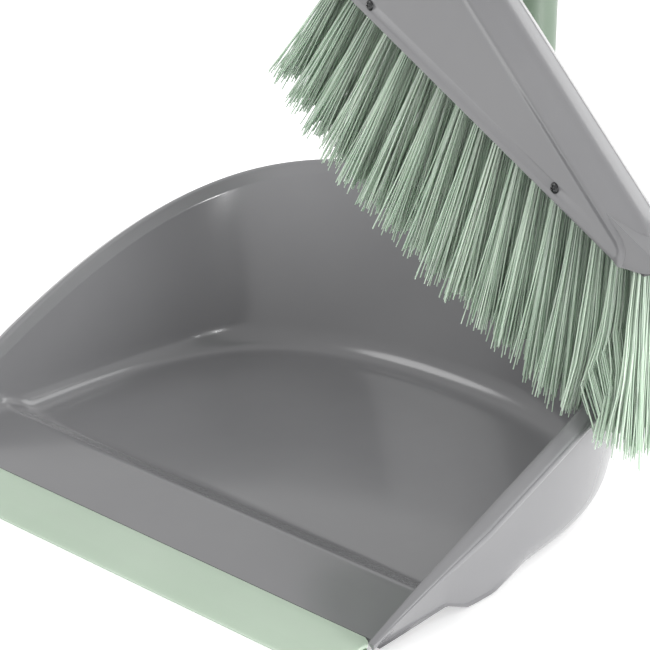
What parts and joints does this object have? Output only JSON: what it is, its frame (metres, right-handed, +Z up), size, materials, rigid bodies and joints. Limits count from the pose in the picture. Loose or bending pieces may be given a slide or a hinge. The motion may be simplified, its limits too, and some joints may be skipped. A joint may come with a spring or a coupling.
{
  "type": "dust pan and brush set",
  "caption": "Long handled dust pan and brush set: deep grey pan with a soft green lip, grey brush head with pale green bristles over the pan, green poles.",
  "frame": {"origin": "middle of the pan's flat underside, on the floor", "axes": "+Z up, mouth of the pan towards -Y, +X to the right seen from the mouth"},
  "size_m": [0.4066, 0.2891, 0.9794],
  "materials": {
    "pan_grey": "gloss",
    "soft_lip": "satin",
    "pole_green": "satin",
    "bristle_green": "satin",
    "black_trim": "matte"
  },
  "bodies": {
    "pan": {"pan_shell": "pan_grey", "lip_strip": "soft_lip", "pan_pole": "pole_green", "pan_pole_plug": "black_trim", "pan_grip": "pan_grey"},
    "brush": {"brush_cover": "pan_grey", "bristle_block": "black_trim", "brush_pole": "pole_green", "brush_pole_plug": "black_trim", "brush_grip": "pan_grey", "screw_front_left": "black_trim", "screw_front_right": "black_trim", "screw_back_left": "black_trim", "screw_back_right": "black_trim", "tuft_01": "bristle_green", "tuft_02": "bristle_green", "tuft_03": "bristle_green", "tuft_04": "bristle_green", "tuft_05": "bristle_green", "tuft_06": "bristle_green", "tuft_07": "bristle_green", "tuft_08": "bristle_green", "tuft_09": "bristle_green", "tuft_10": "bristle_green", "tuft_11": "bristle_green", "tuft_12": "bristle_green", "tuft_13": "bristle_green", "tuft_14": "bristle_green", "tuft_15": "bristle_green", "tuft_16": "bristle_green", "tuft_17": "bristle_green"},
    "clip": {"handle_clip": "pan_grey"}
  },
  "joints": [
    {"name": "brush_lift", "type": "slide", "parent": "pan", "child": "brush", "axis": [0.2758, -0.0068, 0.9612], "range_m": [0, 0.25]},
    {"name": "clip_turn", "type": "hinge", "parent": "pan", "child": "clip", "pos_m": [0, 0.1312, 0.479], "axis": [0, 0, 1], "range_deg": [-90, 90]}
  ]
}
